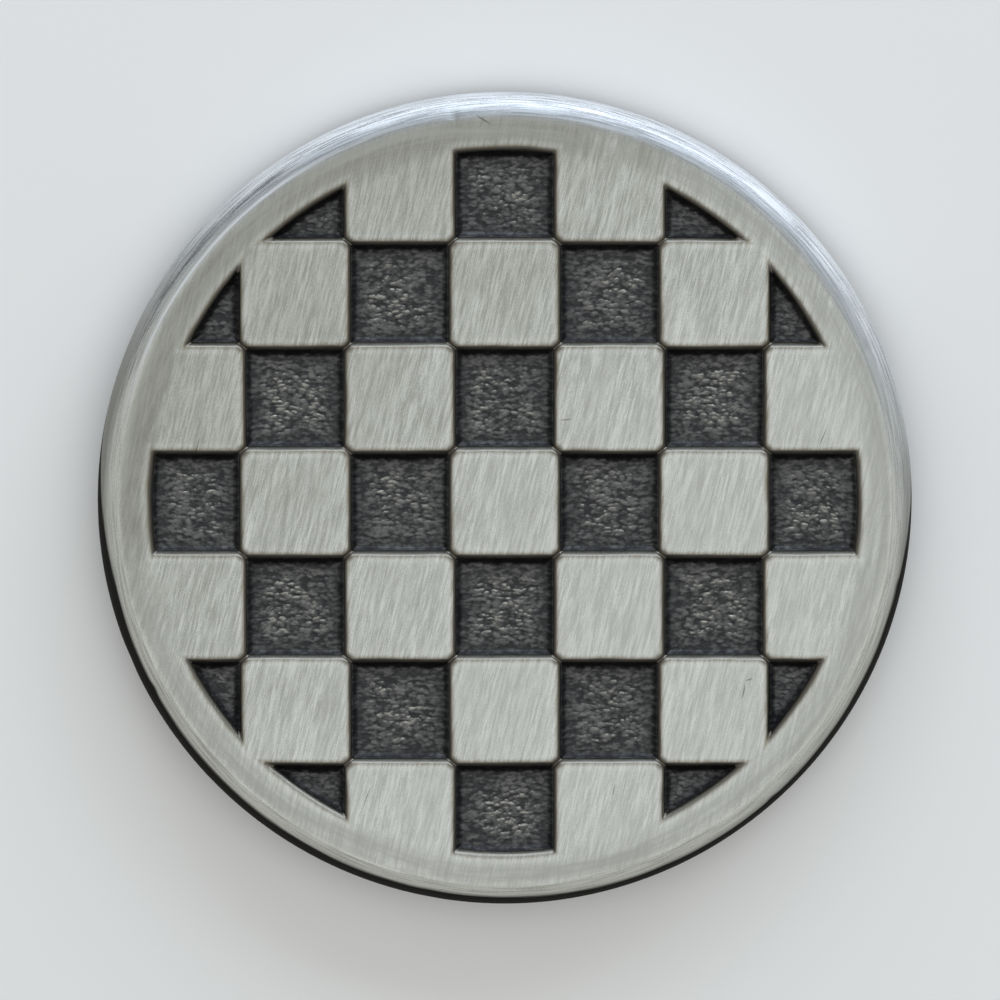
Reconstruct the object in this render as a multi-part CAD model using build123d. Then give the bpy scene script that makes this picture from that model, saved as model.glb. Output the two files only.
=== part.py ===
"""Golf ball marker: a struck metal coin with a chequered board in relief on its face.

The face carries a round board of square cells inside a plain border. Every other cell is a raised tile, level with
the border. The cells between the tiles are sunk, with drafted walls and a thin film of dark antiquing lacquer on the
floor. Two tiles that meet at a corner are joined there by a low saddle, which keeps the sunk cells apart. The coin is
of a non-magnetic alloy, so a thin steel keeper disc is bonded into its back, where a magnetic clip can hold it.

Units are millimetres. The origin is the centre of the plane that the coin rests on, +Z points up out of the face, and
+Y points to row 1 of the board. Column 1 is at -X.
"""

from build123d import *
from math import hypot
import os

# Coin
DISC_DIAMETER = 25.4
DISC_THICKNESS = 2.5
BEVEL_WIDTH = 0.66  # the bulging bevel round the face, measured along the radius
BEVEL_DROP = 1.0  # the same bevel, measured down the side
BEVEL_EDGE_RADIUS = 0.3  # softens the line where the bevel leaves the face
BACK_EDGE_RADIUS = 0.6

# Chequered board on the face
CELLS_ACROSS = 7  # odd, so that a tile stands in the middle
BORDER_WIDTH = 1.67  # from the board to the side of the coin
EDGE_CELL_SHARE = 0.886  # how much of a whole cell the round border leaves in the outer rows
RELIEF_DEPTH = 0.40  # from the top of a tile to the floor of a sunk cell
WALL_RUN = 0.19  # how far a drafted wall spreads sideways on its way down
TILE_SETBACK = 0.02  # from the line between two cells to the top of the wall
TILE_CORNER_RADIUS = 0.20  # of a tile's corners, seen from above
RELIEF_EDGE_RADIUS = 0.08  # softens the top edges of the tiles and the border
LACQUER_THICKNESS = 0.05

# Back of the coin
BACK_RIM_WIDTH = 1.2  # the flat ring that the coin rests on
BACK_RIM_HEIGHT = 0.15
KEEPER_DIAMETER = 16.0
KEEPER_THICKNESS = 0.8
KEEPER_CHAMFER = 0.1
KEEPER_CLEARANCE = 0.1  # all round, between the keeper and the wall of its pocket
BOND_THICKNESS = 0.08

# What follows from these
disc_radius = DISC_DIAMETER / 2
board_radius = disc_radius - BORDER_WIDTH
middle_cell = (CELLS_ACROSS + 1) // 2
inner_cells = CELLS_ACROSS / 2 - 1  # whole cells between the middle of the board and the outer rows
cell_pitch = board_radius / (inner_cells + EDGE_CELL_SHARE)
floor_level = DISC_THICKNESS - RELIEF_DEPTH
back_field_radius = disc_radius - BACK_EDGE_RADIUS - BACK_RIM_WIDTH
keeper_radius = KEEPER_DIAMETER / 2
keeper_top = BACK_RIM_HEIGHT + KEEPER_THICKNESS
pocket_roof = keeper_top + BOND_THICKNESS


def disc(radius, bottom, top):
    """A plain disc on the coin's axis, between two heights."""
    return Pos(0, 0, bottom) * Cylinder(radius, top - bottom, align=(Align.CENTER, Align.CENTER, Align.MIN))


def coin_blank():
    """The plain coin: half of its section, turned about Z.

    The bevel is an arc that runs into the side of the coin without a line.
    """
    side_top = DISC_THICKNESS - BEVEL_DROP
    bevel_radius = (BEVEL_WIDTH**2 + BEVEL_DROP**2) / (2 * BEVEL_WIDTH)
    with BuildSketch(Plane.XZ) as section:
        with BuildLine():
            Line((0, 0), (disc_radius - BACK_EDGE_RADIUS, 0))
            RadiusArc((disc_radius - BACK_EDGE_RADIUS, 0), (disc_radius, BACK_EDGE_RADIUS), -BACK_EDGE_RADIUS)
            Line((disc_radius, BACK_EDGE_RADIUS), (disc_radius, side_top))
            RadiusArc((disc_radius, side_top), (disc_radius - BEVEL_WIDTH, DISC_THICKNESS), -bevel_radius)
            Line((disc_radius - BEVEL_WIDTH, DISC_THICKNESS), (0, DISC_THICKNESS))
            Line((0, DISC_THICKNESS), (0, 0))
        make_face()
    blank = revolve(section.sketch, axis=Axis.Z)
    face_edge = blank.edges().filter_by(GeomType.CIRCLE).group_by(Axis.Z)[-1]
    return fillet(face_edge, BEVEL_EDGE_RADIUS)


def board_slice(height):
    """The round board from its floor up to a height above it, inside the drafted wall of the border."""
    floor_radius = board_radius - WALL_RUN
    top_radius = floor_radius + WALL_RUN * height / RELIEF_DEPTH
    centred_on_floor = (Align.CENTER, Align.CENTER, Align.MIN)
    return Pos(0, 0, floor_level) * Cone(floor_radius, top_radius, height, align=centred_on_floor)


def cell_extent(offset):
    """Middle and width of the row or column that lies so many cells from the middle one.

    The outer rows run on under the border as far as the side of the coin.
    """
    if abs(offset) < middle_cell - 1:
        return offset * cell_pitch, cell_pitch
    inner_line = inner_cells * cell_pitch
    outward = 1 if offset > 0 else -1
    return outward * (inner_line + disc_radius) / 2, disc_radius - inner_line


def cell_outline(row, column):
    """Middle and size of a cell: x, y, width, depth."""
    x, width = cell_extent(column - middle_cell)
    y, depth = cell_extent(middle_cell - row)
    return x, y, width, depth


def is_on_board(row, column):
    """Whether a cell's nearest corner to the middle of the coin lies inside the border."""
    x, y, width, depth = cell_outline(row, column)
    return hypot(max(abs(x) - width / 2, 0), max(abs(y) - depth / 2, 0)) < board_radius


def is_sunk(row, column):
    """Whether a cell is one of the sunk ones. The middle cell is a tile."""
    return (row + column) % 2 == 1


def board_cells():
    """Row and column of every cell that the round border leaves."""
    numbers = range(1, CELLS_ACROSS + 1)
    return [(row, column) for row in numbers for column in numbers if is_on_board(row, column)]


def raised_tile(row, column):
    """A tile whose walls spread on their way down to the floor. Those of the outer rows end inside the border."""
    x, y, width, depth = cell_outline(row, column)
    top = RectangleRounded(width - 2 * TILE_SETBACK, depth - 2 * TILE_SETBACK, TILE_CORNER_RADIUS)
    spread = 2 * (WALL_RUN - TILE_SETBACK)
    foot = RectangleRounded(width + spread, depth + spread, TILE_CORNER_RADIUS + WALL_RUN)
    tile = loft([Pos(x, y, floor_level) * foot, Pos(x, y, DISC_THICKNESS) * top], ruled=True)
    border_middle = board_radius + (BORDER_WIDTH - BEVEL_WIDTH) / 2
    return tile & disc(border_middle, 0, DISC_THICKNESS)


def marker_body(tiles):
    """The struck coin: the blank, less the sunk cells on its face and the two steps in its back."""
    body = coin_blank() - (board_slice(RELIEF_DEPTH) - tiles)
    face_edges = body.edges().group_by(Axis.Z)[-1].sort_by(SortBy.LENGTH)
    relief_edges = face_edges[:-1]  # all but the bevel's, which is the longest
    body = fillet(relief_edges, RELIEF_EDGE_RADIUS)
    body -= disc(back_field_radius, 0, BACK_RIM_HEIGHT)
    return body - disc(keeper_radius + KEEPER_CLEARANCE, 0, pocket_roof)


def cell_lacquer(row, column, tiles):
    """The film of lacquer in one sunk cell, from wall to wall."""
    x, y, width, depth = cell_outline(row, column)
    whole_cell = Pos(x, y, floor_level) * Box(width, depth, RELIEF_DEPTH)
    return (board_slice(LACQUER_THICKNESS) & whole_cell) - tiles


def keeper_disc():
    """The steel disc, stamped out with a small chamfer, level with the field round it."""
    keeper = disc(keeper_radius, BACK_RIM_HEIGHT, keeper_top)
    return chamfer(keeper.edges().filter_by(GeomType.CIRCLE), KEEPER_CHAMFER)


def bond_film():
    """The epoxy film between the keeper's flat and the roof of its pocket."""
    return disc(keeper_radius - KEEPER_CHAMFER, keeper_top, pocket_roof)


def build_pieces():
    """Every piece of the marker by name."""
    tiles = [raised_tile(*cell) for cell in board_cells() if not is_sunk(*cell)]
    pieces = {"marker_body": marker_body(tiles), "keeper_disc": keeper_disc(), "bond_film": bond_film()}
    for row, column in board_cells():
        if is_sunk(row, column):
            pieces[f"cell_lacquer_r{row}_c{column}"] = cell_lacquer(row, column, tiles)
    return pieces


os.makedirs("parts", exist_ok=True)
for name, piece in build_pieces().items():
    export_step(piece, f"parts/{name}.step")
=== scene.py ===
"""Looks of the golf ball marker: the struck coin, the lacquer in its sunk cells and the steel in its back.

Lengths are in millimetres while a surface is worked out, and become metres when it goes into a mesh. The
frame is the CAD model's: +Z out of the face, +Y to row 1 of the board, the origin in the plane that the coin
rests on.
"""

import logging
import math
from collections.abc import Iterator, Sequence
from dataclasses import dataclass, field
from enum import Enum

import bpy
import numpy as np
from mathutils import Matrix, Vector


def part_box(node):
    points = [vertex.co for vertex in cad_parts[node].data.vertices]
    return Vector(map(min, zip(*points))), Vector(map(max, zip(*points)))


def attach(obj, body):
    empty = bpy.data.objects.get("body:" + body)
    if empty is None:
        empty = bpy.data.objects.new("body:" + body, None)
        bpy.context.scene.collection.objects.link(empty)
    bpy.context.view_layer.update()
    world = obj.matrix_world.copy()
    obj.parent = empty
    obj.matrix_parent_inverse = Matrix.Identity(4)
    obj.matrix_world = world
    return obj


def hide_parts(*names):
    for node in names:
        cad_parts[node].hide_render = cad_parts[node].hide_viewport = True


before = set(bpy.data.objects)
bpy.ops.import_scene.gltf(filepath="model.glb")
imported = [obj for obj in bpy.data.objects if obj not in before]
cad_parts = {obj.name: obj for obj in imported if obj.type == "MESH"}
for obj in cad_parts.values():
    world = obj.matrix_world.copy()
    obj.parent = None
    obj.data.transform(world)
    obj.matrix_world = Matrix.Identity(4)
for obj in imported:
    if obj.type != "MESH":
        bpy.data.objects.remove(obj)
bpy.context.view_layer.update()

LOG = logging.getLogger("ball_marker")
MM = 0.001
BODY = "root"
LATTICE_SIZE = 256  # random values each way, after which a noise repeats
TO_LATTICE = 40.0  # from the corner of a noise's lattice to the coin's axis

Array = np.ndarray
Color = tuple[float, float, float]


def cad_box(node: str) -> tuple[Vector, Vector]:
    """A CAD node's lowest and highest corner, in millimetres."""
    low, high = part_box(node)
    return low / MM, high / MM


# ---------------------------------------------------------------------------------------------------------
# Surfaces


def smoothstep(low: float, high: float, value: Array) -> Array:
    """0 below low, 1 above high, and 3t² - 2t³ between them."""
    t = np.clip((value - low) / (high - low), 0.0, 1.0)
    return t * t * (3.0 - 2.0 * t)


def soft_min(a: Array, b: Array, blend: float) -> Array:
    """min(a, b), lowered where they are within blend by blend / 4 times their closeness squared."""
    closeness = np.clip(1.0 - np.abs(a - b) / blend, 0.0, 1.0)
    return np.minimum(a, b) - closeness * closeness * blend / 4.0


def bell(value: Array, middle: float, width: float) -> Array:
    """1 at the middle, falling off to both sides as exp(-t²), where t is the distance over the width."""
    return np.exp(-(((value - middle) / width) ** 2))


def value_noise(x: Array, y: Array, step: tuple[float, float], seed: int) -> Array:
    """Smooth noise: random values at the nodes of a lattice, blended between them with a smoothstep.

    Args:
        x, y: Where it is wanted, in millimetres.
        step: Width and height of a lattice cell, which is the size of a lump.
        seed: Which set of random values.

    Returns:
        The noise from 0 to 1, in the shape of x.
    """
    table = np.random.default_rng(seed).random((LATTICE_SIZE, LATTICE_SIZE))
    u, v = x / step[0], y / step[1]
    column, row = np.floor(u).astype(int), np.floor(v).astype(int)
    s, t = smoothstep(0.0, 1.0, u - column), smoothstep(0.0, 1.0, v - row)

    def corner(right: int, up: int) -> Array:
        """The random values at one corner of each place's lattice cell."""
        return table[(row + up) % LATTICE_SIZE, (column + right) % LATTICE_SIZE]

    low = corner(0, 0) * (1 - s) + corner(1, 0) * s
    high = corner(0, 1) * (1 - s) + corner(1, 1) * s
    return low * (1 - t) + high * t


def domes(x: Array, y: Array, size: tuple[float, float], seed: int) -> Array:
    """Closely packed little domes, each with a height of its own.

    The plane is a lattice with one random point to a cell. A dome falls off as 1 less 1.5 times the square of
    the distance from its point, in units of the lattice, and the highest one at a place counts.

    Args:
        x, y: Where it is wanted, in millimetres.
        size: Width and height of a lattice cell, which is about that of a dome.
        seed: Which set of random points.

    Returns:
        The height from 0 to 1, in the shape of x.
    """
    table = np.random.default_rng(seed).random((3, LATTICE_SIZE, LATTICE_SIZE))
    u, v = x / size[0], y / size[1]
    column, row = np.floor(u).astype(int), np.floor(v).astype(int)
    highest = np.zeros_like(u)
    for i in (-1, 0, 1):
        for j in (-1, 0, 1):
            offset_x, offset_y, top = table[:, (row + j) % LATTICE_SIZE, (column + i) % LATTICE_SIZE]
            square = (u - column - i - offset_x) ** 2 + (v - row - j - offset_y) ** 2
            highest = np.maximum(highest, (0.35 + 0.65 * top) * (1.0 - 1.5 * square))
    return highest


def crowded(count: int, crowding: float = 2.7) -> Array:
    """Stations from 0 to 1 that crowd at both ends: half of (e^(ct) - 1) / (e^c - 1), and the same mirrored.

    Args:
        count: Number of gaps, an even one.
        crowding: The c of the formula.

    Returns:
        The stations.
    """
    t = np.linspace(0.0, 1.0, count // 2 + 1)
    half = 0.5 * np.expm1(crowding * t) / math.expm1(crowding)
    return np.concatenate([half, 1.0 - half[-2::-1]])


def turned(points: Array, quarter_turns: int) -> Array:
    """Points turned about +Z by quarter turns: each one takes (x, y) to (-y, x).

    Args:
        points: The points, x, y and z along the last axis.
        quarter_turns: How many.

    Returns:
        The turned points, in the same shape.
    """
    x, y, z = points[..., 0], points[..., 1], points[..., 2]
    for _ in range(quarter_turns % 4):
        x, y = -y, x
    return np.stack([x, y, z], axis=-1)


def grid_quads(rows: int, columns: int, closed: bool = False) -> Array:
    """Quads of a row-major grid. They face +Z when columns run along +X and rows along +Y.

    Args:
        rows, columns: Number of points each way.
        closed: Whether the last column joins the first.

    Returns:
        Point numbers, four to a quad.
    """
    index = np.arange(rows * columns).reshape(rows, columns)
    if closed:
        index = np.concatenate([index, index[:, :1]], axis=1)
    corners = (index[:-1, :-1], index[:-1, 1:], index[1:, 1:], index[1:, :-1])
    return np.stack(corners, axis=-1).reshape(-1, 4)


@dataclass
class Surface:
    """Points and quads under construction, with a number per point for each named attribute."""

    points: Array
    quads: Array
    attributes: dict[str, Array] = field(default_factory=dict)

    @classmethod
    def from_grid(cls, grid: Array, closed: bool = False) -> "Surface":
        """A surface from points in rows and columns."""
        rows, columns = grid.shape[:2]
        return cls(grid.reshape(-1, 3), grid_quads(rows, columns, closed))

    def flipped(self) -> "Surface":
        """The same surface, facing the other way."""
        return Surface(self.points, self.quads[:, ::-1], self.attributes)

    @staticmethod
    def welded(surfaces: Sequence["Surface"], grain: float = 1e-5) -> "Surface":
        """One surface out of several, in which points that coincide become one.

        Args:
            surfaces: What to join. Attributes are left behind, since they are worked out on the result.
            grain: How near two points have to be, in millimetres.

        Returns:
            The joined surface.
        """
        starts = np.cumsum([0] + [len(s.points) for s in surfaces[:-1]])
        points = np.concatenate([s.points for s in surfaces])
        quads = np.concatenate([s.quads + start for s, start in zip(surfaces, starts)])
        places = np.round(points / grain).astype(np.int64)
        _, first, number = np.unique(places, axis=0, return_index=True, return_inverse=True)
        return Surface(points[first], number.reshape(-1)[quads])

    def rim_points(self) -> Array:
        """Numbers of the points on the open edge: those of sides that only one quad has.

        Returns:
            The numbers, in rising order.
        """
        sides = np.concatenate([self.quads[:, [i, (i + 1) % 4]] for i in range(4)])
        sides = np.sort(sides[sides[:, 0] != sides[:, 1]], axis=1)
        unique, count = np.unique(sides, axis=0, return_counts=True)
        return np.unique(unique[count == 1])

    def to_object(self, name: str) -> bpy.types.Object:
        """A smooth-shaded mesh object at the origin. Quads with two corners in one place become triangles.

        Args:
            name: The piece's name.

        Returns:
            The object, linked to the scene.
        """
        repeats = self.quads == np.roll(self.quads, -1, axis=1)
        whole, pinched = repeats.sum(1) == 0, repeats.sum(1) == 1
        quads, triangles = self.quads[whole], self.quads[pinched][~repeats[pinched]].reshape(-1, 3)
        corners = np.concatenate([quads.reshape(-1), triangles.reshape(-1)]).astype(np.int32)
        totals = np.concatenate([np.full(len(quads), 4), np.full(len(triangles), 3)]).astype(np.int32)
        mesh = bpy.data.meshes.new(name)
        mesh.vertices.add(len(self.points))
        mesh.vertices.foreach_set("co", (self.points * MM).astype(np.float32).reshape(-1))
        mesh.loops.add(len(corners))
        mesh.loops.foreach_set("vertex_index", corners)
        mesh.polygons.add(len(totals))
        mesh.polygons.foreach_set("loop_start", (np.cumsum(totals) - totals).astype(np.int32))
        mesh.polygons.foreach_set("loop_total", totals)
        mesh.polygons.foreach_set("use_smooth", np.ones(len(totals), dtype=bool))
        mesh.update(calc_edges=True)
        mesh.validate()
        for label, values in self.attributes.items():
            layer = mesh.attributes.new(label, "FLOAT", "POINT")
            layer.data.foreach_set("value", values.astype(np.float32))
        piece = bpy.data.objects.new(name, mesh)
        bpy.context.scene.collection.objects.link(piece)
        return piece


def turned_profile(profile: Array, angles: Array) -> Array:
    """A profile carried round the coin's axis: (r cos a, r sin a, z).

    Args:
        profile: Its points (r, z).
        angles: The bearings a, in radians.

    Returns:
        A grid of points, with a row for each point of the profile.
    """
    x = profile[:, :1] * np.cos(angles)
    y = profile[:, :1] * np.sin(angles)
    return np.stack([x, y, np.broadcast_to(profile[:, 1:], x.shape)], axis=-1)


def arc(centre: tuple[float, float], radius: float, start: float, end: float, count: int) -> Array:
    """Points (r, z) along a circular arc of a profile, from one angle to another, in degrees."""
    angle = np.radians(np.linspace(start, end, count))
    return np.stack([centre[0] + radius * np.cos(angle), centre[1] + radius * np.sin(angle)], axis=-1)


def line(start: tuple[float, float], end: tuple[float, float], count: int) -> Array:
    """Evenly spaced points (r, z) along a straight stretch of a profile, both ends included."""
    t = np.linspace(0.0, 1.0, count)[:, None]
    return np.array(start) * (1 - t) + np.array(end) * t


# ---------------------------------------------------------------------------------------------------------
# Shader nodes


class Socket(Enum):
    """Kinds of socket that the node groups use."""

    VALUE = "NodeSocketFloat"
    VECTOR = "NodeSocketVector"


@dataclass(frozen=True)
class Wire:
    """A node's output. A sign between a wire and another wire or a number adds a Math node to its tree."""

    bench: "NodeBench"
    socket: bpy.types.NodeSocket

    def __add__(self, other: "Wire | float") -> "Wire":
        """The sum."""
        return self.bench.math("ADD", self, other)

    def __sub__(self, other: "Wire | float") -> "Wire":
        """The difference."""
        return self.bench.math("SUBTRACT", self, other)

    def __mul__(self, other: "Wire | float") -> "Wire":
        """The product."""
        return self.bench.math("MULTIPLY", self, other)

    def __truediv__(self, other: "Wire | float") -> "Wire":
        """The quotient."""
        return self.bench.math("DIVIDE", self, other)

    def __rtruediv__(self, other: float) -> "Wire":
        """A number over this value."""
        return self.bench.math("DIVIDE", other, self)


Input = Wire | float | tuple[float, ...]


@dataclass
class NodeBench:
    """Adds nodes to one tree and wires them up."""

    tree: bpy.types.NodeTree

    def feed(self, socket: bpy.types.NodeSocket, value: Input) -> None:
        """Links a socket to a wire, or sets it to a number, vector or colour.

        Args:
            socket: A node's input.
            value: What goes into it.
        """
        if isinstance(value, Wire):
            self.tree.links.new(value.socket, socket)
        elif socket.type == "RGBA":
            socket.default_value = (*value, 1.0)
        else:
            socket.default_value = value

    def add(self, kind: str, inputs: dict[int | str, Input], **settings: object) -> bpy.types.Node:
        """A new node, set and wired.

        Args:
            kind: The node's Blender type.
            inputs: What goes into its inputs, by number or name.
            settings: Properties of the node, by name.

        Returns:
            The node.
        """
        node = self.tree.nodes.new(kind)
        for name, value in settings.items():
            setattr(node, name, value)
        for key, value in inputs.items():
            self.feed(node.inputs[key], value)
        return node

    def math(self, operation: str, *values: Input, clamp: bool = False) -> Wire:
        """The result of a Math node."""
        node = self.add("ShaderNodeMath", dict(enumerate(values)), operation=operation, use_clamp=clamp)
        return Wire(self, node.outputs[0])

    def vector(self, operation: str, *values: Input) -> Wire:
        """The result of a Vector Math node."""
        node = self.add("ShaderNodeVectorMath", dict(enumerate(values)), operation=operation)
        return Wire(self, node.outputs["Value" if operation == "LENGTH" else "Vector"])

    def scaled(self, vector: Input, scale: Input) -> Wire:
        """A vector times a number."""
        node = self.add("ShaderNodeVectorMath", {0: vector, "Scale": scale}, operation="SCALE")
        return Wire(self, node.outputs["Vector"])

    def turned_back(self, vector: Wire, angle: Wire) -> Wire:
        """A vector turned about +Z by an angle, clockwise as seen from +Z."""
        inputs = {"Vector": vector, "Angle": angle * -1.0}
        return Wire(self, self.add("ShaderNodeVectorRotate", inputs, rotation_type="Z_AXIS").outputs[0])

    def split(self, vector: Wire) -> list[Wire]:
        """A vector's x, y and z."""
        return [Wire(self, output) for output in self.add("ShaderNodeSeparateXYZ", {0: vector}).outputs]

    def joined(self, x: Input, y: Input, z: Input) -> Wire:
        """The vector (x, y, z)."""
        return Wire(self, self.add("ShaderNodeCombineXYZ", {0: x, 1: y, 2: z}).outputs[0])

    def between(self, value: Wire, low: float, high: float, start: float = 0.0, end: float = 1.0) -> Wire:
        """A value that goes smoothly from start to end as another goes from low to high.

        Args:
            value: The other value.
            low, high: Its range.
            start, end: The result at both ends of the range, and beyond them.

        Returns:
            The value.
        """
        inputs = dict(enumerate((value, low, high, start, end)))
        node = self.add("ShaderNodeMapRange", inputs, interpolation_type="SMOOTHSTEP")
        return Wire(self, node.outputs["Result"])

    def mix(self, factor: Input, a: Input, b: Input) -> Wire:
        """A colour between two others."""
        return Wire(self, self.add("ShaderNodeMix", {0: factor, 6: a, 7: b}, data_type="RGBA").outputs[2])

    def blend(self, factor: Wire, a: Wire, b: Wire) -> Wire:
        """A number between two others."""
        return Wire(self, self.add("ShaderNodeMix", {0: factor, 2: a, 3: b}, data_type="FLOAT").outputs[0])

    def noise(self, vector: Wire, scale: float, detail: float = 2.0, roughness: float = 0.5) -> Wire:
        """A noise value at a vector."""
        inputs = {"Vector": vector, "Scale": scale, "Detail": detail, "Roughness": roughness}
        return Wire(self, self.add("ShaderNodeTexNoise", inputs).outputs["Fac"])

    def group(self, tree: bpy.types.NodeTree, **inputs: Input) -> list[Wire]:
        """One of the shared groups, placed with values of its own.

        Args:
            tree: The group.
            inputs: What goes into its inputs, by name.

        Returns:
            Its outputs.
        """
        node = self.add("ShaderNodeGroup", {}, node_tree=tree)
        for name, value in inputs.items():
            self.feed(node.inputs[name], value)
        return [Wire(self, output) for output in node.outputs]

    def attribute(self, name: str) -> Wire:
        """A number that the piece's mesh carries at each point."""
        return Wire(self, self.add("ShaderNodeAttribute", {}, attribute_name=name).outputs["Fac"])

    def millimetres(self) -> Wire:
        """Object coordinates in millimetres."""
        return self.scaled(Wire(self, self.add("ShaderNodeTexCoord", {}).outputs["Object"]), 1.0 / MM)


@dataclass
class GroupBench(NodeBench):
    """A shader node group under construction, with the wires of its inputs by name."""

    given: dict[str, Wire] = field(default_factory=dict)

    @classmethod
    def started(cls, name: str, **inputs: float | None) -> "GroupBench":
        """An empty group.

        Args:
            name: The group's name.
            inputs: The default of each input: None for a vector, or a number.

        Returns:
            Its bench.
        """
        bench = cls(bpy.data.node_groups.new(name, "ShaderNodeTree"))
        for label, default in inputs.items():
            kind = Socket.VECTOR if default is None else Socket.VALUE
            socket = bench.tree.interface.new_socket(label, in_out="INPUT", socket_type=kind.value)
            if default is not None:
                socket.default_value = default
        outputs = bench.add("NodeGroupInput", {}).outputs
        bench.given = {label: Wire(bench, outputs[label]) for label in inputs}
        return bench

    def finished(self, **outputs: Wire) -> bpy.types.NodeTree:
        """The group, once it has its outputs.

        Args:
            outputs: The wire of each output, by name.

        Returns:
            The group's tree.
        """
        for label in outputs:
            self.tree.interface.new_socket(label, in_out="OUTPUT", socket_type=Socket.VALUE.value)
        self.add("NodeGroupOutput", outputs)
        return self.tree


@dataclass
class SurfaceEffects:
    """The node groups that several finishes share. Each one is built once."""

    brushed: bpy.types.NodeTree = field(init=False)
    turned: bpy.types.NodeTree = field(init=False)
    mottle: bpy.types.NodeTree = field(init=False)
    pits: bpy.types.NodeTree = field(init=False)
    hairline: bpy.types.NodeTree = field(init=False)

    def __post_init__(self) -> None:
        """Builds every group."""
        self.brushed = self.brushed_group()
        self.turned = self.turned_group()
        self.mottle = self.mottle_group()
        self.pits = self.pits_group()
        self.hairline = self.hairline_group()

    @staticmethod
    def brushed_group() -> bpy.types.NodeTree:
        """Straight scratches: noise on a place that is turned to the stroke, squeezed across it and swayed.

        Returns:
            The group.
        """
        bench = GroupBench.started("brushed_strokes", Vector=None, Turn=0.0, Length=1.0, Width=0.05)
        stroke = bench.joined(bench.given["Length"], bench.given["Width"], 1.0)
        turned_place = bench.turned_back(bench.given["Vector"], bench.given["Turn"])
        squeezed = bench.vector("DIVIDE", turned_place, stroke)
        sway = bench.scaled((0.0, 1.0, 0.0), bench.noise(squeezed, 0.35, 1.0) * 1.2)
        return bench.finished(Lines=bench.noise(bench.vector("ADD", squeezed, sway), 1.0, 3.0, 0.6))

    @staticmethod
    def turned_group() -> bpy.types.NodeTree:
        """Streaks round the coin's axis: noise that changes fast with radius and height, slowly with bearing.

        Returns:
            The group, which also puts out the radius.
        """
        bench = GroupBench.started("turned_streaks", Vector=None, Sweep=6.0, Width=0.06)
        flat = bench.vector("MULTIPLY", bench.given["Vector"], (1.0, 1.0, 0.0))
        radius = bench.vector("LENGTH", flat)
        around = bench.scaled(bench.vector("NORMALIZE", flat), bench.given["Sweep"])
        _, _, height = bench.split(bench.given["Vector"])
        across = bench.joined(0.0, 0.0, (radius - height) / bench.given["Width"])
        lines = bench.noise(bench.vector("ADD", around, across), 1.0, 3.0, 0.6)
        return bench.finished(Lines=lines, Radius=radius)

    @staticmethod
    def mottle_group() -> bpy.types.NodeTree:
        """Soft cloudy patches, sharpened by the contrast.

        Returns:
            The group.
        """
        bench = GroupBench.started("mottle", Vector=None, Size=2.0, Contrast=2.0)
        place = bench.scaled(bench.given["Vector"], 1.0 / bench.given["Size"])
        swing = (bench.noise(place, 1.0, 4.0, 0.55) - 0.5) * bench.given["Contrast"]
        return bench.finished(Mask=bench.math("ADD", swing, 0.5, clamp=True))

    @staticmethod
    def pits_group() -> bpy.types.NodeTree:
        """Scattered pinholes: the middles of random cells, kept only where a coarser noise is high.

        Returns:
            The group.
        """
        bench = GroupBench.started("pinholes", Vector=None, Spacing=0.5, Radius=0.1)
        place = bench.scaled(bench.given["Vector"], 1.0 / bench.given["Spacing"])
        cells = bench.add("ShaderNodeTexVoronoi", {"Vector": place}, feature="F1")
        near = bench.math("LESS_THAN", Wire(bench, cells.outputs["Distance"]), bench.given["Radius"])
        return bench.finished(Mask=near * bench.math("GREATER_THAN", bench.noise(place, 0.35, 1.0), 0.55))

    @staticmethod
    def hairline_group() -> bpy.types.NodeTree:
        """One fine scratch: a thin ellipse round a point, along an angle, with a slight bow.

        Returns:
            The group.
        """
        sizes = {"Turn": 0.0, "Length": 1.0, "Width": 0.03, "Bow": 0.0}
        bench = GroupBench.started("hairline", Vector=None, Middle=None, **sizes)
        moved = bench.vector("SUBTRACT", bench.given["Vector"], bench.given["Middle"])
        x, y, _ = bench.split(bench.turned_back(moved, bench.given["Turn"]))
        along = x / bench.given["Length"]
        squared = along * along
        across = (y - squared * bench.given["Bow"]) / bench.given["Width"]
        return bench.finished(Mask=bench.math("SUBTRACT", 1.0, squared * 4.0 + across * across, clamp=True))


@dataclass
class MaterialBench(NodeBench):
    """A new material with a Principled BSDF in it."""

    material: bpy.types.Material

    @classmethod
    def started(cls, name: str) -> "MaterialBench":
        """A new material.

        Args:
            name: The finish's name.

        Returns:
            Its bench.
        """
        material = bpy.data.materials.new(name)
        material.use_nodes = True
        return cls(material.node_tree, material)

    def finished(
        self, inputs: dict[str, Input], height: Wire | None = None, depth: float = 0.0
    ) -> bpy.types.Material:
        """The material, once its shader has its inputs.

        Args:
            inputs: What goes into the shader's inputs, by name.
            height: The varying height of a fine relief.
            depth: How deep a height of 1 is, in millimetres.

        Returns:
            The material.
        """
        shader = self.tree.nodes["Principled BSDF"]
        for name, value in inputs.items():
            self.feed(shader.inputs[name], value)
        if height is not None:
            relief = {"Strength": 1.0, "Distance": depth * MM, "Height": height}
            self.feed(shader.inputs["Normal"], Wire(self, self.add("ShaderNodeBump", relief).outputs[0]))
        return self.material


@dataclass(frozen=True)
class Hairline:
    """A fine scratch on the face: where its middle is, its angle in degrees, its length, width and bow."""

    x: float
    y: float
    turn: float
    length: float
    width: float = 0.028
    bow: float = 0.0


@dataclass(frozen=True)
class MetalMarks:
    """The wires that the parts of the metal's finish share."""

    place: Wire
    radius: Wire
    fine: Wire
    hair: Wire
    broad: Wire
    streaks: Wire
    bands: Wire
    clouds: Wire
    pits: Wire
    on_rim: Wire
    lines: Wire


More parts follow.
